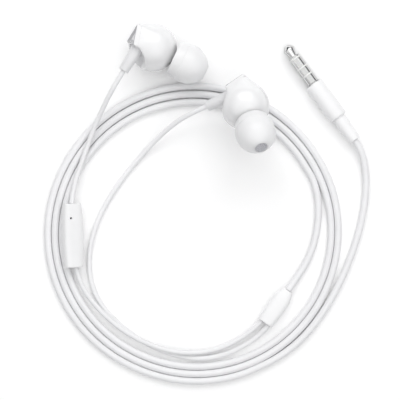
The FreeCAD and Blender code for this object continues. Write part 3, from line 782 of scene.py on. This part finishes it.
def half(source, name, point, normal, openings=()):
    """The part of the skin that the normal points away from, opened along each (at, axis, r)."""
    piece = bpy.data.objects.new(name, source.data.copy())
    bpy.context.collection.objects.link(piece)
    mesh = bmesh.new()
    mesh.from_mesh(piece.data)
    everything = mesh.verts[:] + mesh.edges[:] + mesh.faces[:]
    bmesh.ops.bisect_plane(mesh, geom=everything, plane_co=point, plane_no=normal, clear_outer=True)
    gone = []
    for face in mesh.faces:
        middle = face.calc_center_median()
        for at, axis, radius in openings:
            reach = middle - at
            ahead = reach.dot(axis)
            if ahead > 0 and (reach - axis * ahead).length < radius:
                gone.append(face)
    bmesh.ops.delete(mesh, geom=list(set(gone)), context="FACES")
    mesh.to_mesh(piece.data)
    mesh.free()
    return with_modifiers(piece, ("SOLIDIFY", {"thickness": WALL, "offset": -1.0, "use_rim": True}))


OPENINGS = [(Vector((-3, 0, 0)), Vector((1, 0, 0)), 2.1), (BOOT_AT, BOOT_AXIS.normalized(), 1.75)]
seam = CORNERS[0] - FACE_NORMAL * SEAM_DEPTH
front = half(block, "front_half", seam - FACE_NORMAL * SEAM_GAP, FACE_NORMAL, OPENINGS)
rear = half(block, "rear_half", seam, -FACE_NORMAL)
for side in EAR_PLACE:
    for source, label, node in ((front, "_shell", "_front_shell"), (rear, "_cover", "_rear_cover")):
        piece = bpy.data.objects.new(side + label, source.data.copy())
        bpy.context.collection.objects.link(piece)
        settled(piece, EAR_PLACE[side], angle=40)
        dressed(piece, side + node, "white_plastic")
        print(piece.name, len(piece.data.polygons), "faces")
for spare in (front, rear, block):
    bpy.data.objects.remove(spare)

# %% [markdown]
# ## The remote
# A slim box, widest in the middle, in two covers that meet on a fine line. Each cross-section is a
# rounded rectangle (a superellipse), and the ends are nearly flat with a small rounding.

# %% Lofting cross-sections
def superellipse(half_wide, half_high, power, count=72):
    out = []
    for k in range(count):
        t = 2 * math.pi * k / count
        c, s = math.cos(t), math.sin(t)
        out.append((math.copysign(abs(c) ** (2 / power), c) * half_wide,
                    math.copysign(abs(s) ** (2 / power), s) * half_high))
    return out


def lofted(name, stations, power):
    """Solid through stations of (along, half width, half height), along X, Y across, Z up."""
    return stacked(name, [[Vector((x, y, z)) for y, z in superellipse(w, h, power)] for x, w, h in stations])


REMOTE_HALF, REMOTE_W, REMOTE_END_W, REMOTE_H = 9.525, 3.1, 2.62, 2.15
END_ROUND = 0.3


def remote_stations(count=40):
    out = []
    for k in range(count + 1):
        x = -REMOTE_HALF + END_ROUND + 2 * (REMOTE_HALF - END_ROUND) * k / count
        wide = REMOTE_END_W + (REMOTE_W - REMOTE_END_W) * (1 - (x / REMOTE_HALF) ** 2)
        out.append((x, wide, REMOTE_H - 0.12 * (x / REMOTE_HALF) ** 2))
    ends = []
    for k in range(1, 6):
        t = math.radians(18 * k)
        ends.append((END_ROUND * math.sin(t), END_ROUND * (1 - math.cos(t))))
    first, last = out[0], out[-1]
    tail = [(last[0] + d, last[1] - inset, last[2] - inset) for d, inset in ends]
    nose = [(first[0] - d, first[1] - inset, first[2] - inset) for d, inset in reversed(ends)]
    return nose + out + tail


REMOTE_PLACE = placing(Vector((-37.4, -43.5, 3.5)) * MM, Vector((1, 0.03, 0)), Vector((-0.03, 1, 0)))
REMOTE_PLACE = REMOTE_PLACE @ Matrix.Rotation(math.radians(24), 4, "Y")
LENGTHWAYS = Matrix.Rotation(math.radians(90), 4, "Z")       # loft's X becomes the remote's Y
remote_skin = lofted("remote_skin", remote_stations(), 4.2)
remote_skin.data.transform(LENGTHWAYS)

# %% [markdown]
# The covers are cut from the skin and given walls. A fine hole in the front lets sound reach the
# microphone, and a slot in the back holds the button.

# %% Remote covers and button
REMOTE_GAP = 0.06
BUTTON = (3.0, 1.3, 0.95)          # half length, half width, depth below the cover's face


def button_loops(grow, levels):
    rows = []
    for z, shrink in levels:
        outline = superellipse(BUTTON[1] + grow - shrink, BUTTON[0] + grow - shrink, 4.5, 48)
        rows.append([Vector((x, y, z)) for x, y in outline])
    return rows


up = Vector((0, 0, 1))
remote_front = half(remote_skin, "remote_top_cover", up * REMOTE_GAP / 2, -up)
remote_back = half(remote_skin, "remote_under_cover", -up * REMOTE_GAP / 2, up)
bpy.data.objects.remove(remote_skin)
hole = turned_blank("hole_cutter", [(0.5, 0), (0.5, 0.33), (3, 0.33), (3, 0)], 32)
hole.data.transform(Matrix.Translation((-1.05, 5.2, 0)) @ Matrix.Rotation(math.radians(-90), 4, "Y"))
drilled(remote_front, hole)
slot_cutter = stacked("slot_cutter", button_loops(0.1, [(-4, 0), (-1, 0)]))
drilled(remote_back, slot_cutter)
LOW = -REMOTE_H
button = stacked("play_button", button_loops(0, [
    (LOW - 0.35, 0.55), (LOW - 0.34, 0.3), (LOW - 0.28, 0.12), (LOW - 0.18, 0.03), (LOW - 0.05, 0),
    (LOW + 0.72, 0), (LOW + 0.73, -0.4), (LOW + 1.0, -0.4)]))
for piece, node, body in ((remote_front, "remote_front_cover", "root"),
                          (remote_back, "remote_back_cover", "root"), (button, "remote_button", "button")):
    settled(piece, REMOTE_PLACE, angle=40)
    dressed(piece, node, "white_plastic", body=body)
    print(piece.name, len(piece.data.polygons), "faces")

# %% [markdown]
# ## The splitter
# Soft plastic moulded round the joint of the wires. Two wires go in at the wide flat end, and the
# body narrows to a neck where the single cable leaves.

# %% Splitter
SPLIT_PLACE = placing(Vector((20.0, -69.63, 2.05)) * MM, Vector((6.87, 9.70, 0)), Vector((-9.70, 6.87, 0)))
SPLIT_STATIONS = [(0.0, 2.2, 1.4), (0.02, 2.32, 1.55), (0.2, 2.42, 1.72), (0.9, 2.5, 1.82), (3.5, 2.62, 1.88),
                  (6.8, 2.68, 1.9), (8.6, 2.62, 1.86), (10.0, 2.34, 1.74), (11.0, 1.95, 1.56),
                  (11.65, 1.68, 1.42), (11.9, 1.5, 1.32)]
splitter = lofted("wire_splitter", eased(SPLIT_STATIONS, per=5), 2.6)
settled(splitter, SPLIT_PLACE, angle=40)
dressed(splitter, "splitter_shell", "white_elastomer")
print("splitter", len(splitter.data.polygons), "faces")

# %% [markdown]
# ## The plug
# Four nickel-plated contacts with three white rings between them, then the moulded barrel and its
# boot. All are spun about one axis. The tip has the groove that a socket's spring drops into, and
# the sleeve ends in a small flange against the barrel.

# %% Plug
PLUG_PLACE = placing(Vector((26.27, 13.06, 2.85)) * MM, PLUG_AXIS, Vector((0.808, 0.5895, 0)))
JACK_R, EASE = 1.75, 0.06
X1, X2, X3, X4, X5 = 4.45, 7.82, 10.52, 14.0, 26.5
RING_GAP = 0.4


def contact(start, end):
    """Profile of a plain contact ring with its two edges just broken."""
    return [(start, 0.9), (start, JACK_R - EASE), (start + EASE, JACK_R), (end - EASE, JACK_R),
            (end, JACK_R - EASE), (end, 0.9)]


TIP_NOSE = [(-0.02, 0), (-0.02, 0.38), (0.02, 0.5), (0.14, 0.66)]
TIP_REST = [(1.08, 1.56), (1.25, 1.67), (1.45, 1.72), (1.7, 1.68), (2.2, 1.53), (3.55, 1.1), (3.75, 1.05),
            (3.88, 1.06), (3.92, 1.15), (3.95, 1.68), (4.0, JACK_R), (X1 - EASE, JACK_R),
            (X1, JACK_R - EASE), (X1, 0)]
SLEEVE = [(X3 + RING_GAP, 0.9), (X3 + RING_GAP, JACK_R - EASE), (X3 + RING_GAP + EASE, JACK_R),
          (X4 - 0.42, JACK_R), (X4 - 0.36, JACK_R + 0.05), (X4 - 0.32, 2.06), (X4 - 0.27, 2.12),
          (X4 - 0.05, 2.12), (X4 + 0.02, 2.05), (X4 + 0.02, 1.4), (X4 + 3, 1.4), (X4 + 3, 0.9)]
BARREL = [(X4 + 0.8, 1.5), (X4, 1.5), (X4, 2.42), (X4 + 0.06, 2.58), (X4 + 0.2, 2.7), (X4 + 0.45, 2.77),
          (X4 + 1.2, 2.82), (X5 - 0.6, 2.82), (X5 - 0.3, 2.74), (X5 - 0.1, 2.55), (X5, 2.25), (X5, 2.1),
          (X5 - 1.2, 2.1), (X5 - 1.2, 2.4), (X4 + 0.8, 2.4)]
BOOT = [(X5 - 2.0, 0), (X5 - 2.0, 2.3), (X5 - 1.3, 2.3), (X5 - 1.3, 2.04), (X5 + 0.3, 2.02), (X5 + 7.9, 1.92),
        (X5 + 8.18, 1.86), (X5 + 8.3, 1.7), (X5 + 8.3, 1.12), (X5 + 8.2, 1.06), (X5 + 8.2, 0)]
for name, profile, node, slot_name in (
        ("plug_tip", TIP_NOSE + TIP_REST, "jack_tip", "nickel"),
        ("plug_first_ring", contact(X1 + RING_GAP, X2), "jack_ring_1", "nickel"),
        ("plug_second_ring", contact(X2 + RING_GAP, X3), "jack_ring_2", "nickel"),
        ("plug_sleeve", SLEEVE, "jack_sleeve", "nickel"),
        ("plug_body", BARREL, "plug_barrel", "white_elastomer"),
        ("plug_cord_boot", BOOT, "plug_boot", "white_elastomer")):
    dressed(spun(name, profile, PLUG_PLACE, steps=128), node, slot_name)
rings = []
for start in (X1, X2, X3):
    rings.append(spun("ring", [(start, 0.9), (start, JACK_R - 0.02), (start + RING_GAP, JACK_R - 0.02),
                               (start + RING_GAP, 0.9)], PLUG_PLACE, steps=128))
with bpy.context.temp_override(active_object=rings[0], selected_editable_objects=rings):
    bpy.ops.object.join()
rings[0].name = "plug_insulators"
dressed(rings[0], "jack_insulators", "insulator")
print("plug pieces made")

# %% [markdown]
# ## Attaching the cords
# Each cord is attached to the root body once every piece is there, and the design model's parts
# that the cords stand for are hidden. The right wire ends in the splitter, the left one runs
# through the remote, and the cable ends in the plug.

for piece in cords:
    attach(piece, "root")
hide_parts("cable_coil", "cable_start", "cable_end")
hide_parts("left_cord_upper")
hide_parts("left_cord_lower")
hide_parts("right_cord")

bpy.context.view_layer.update()
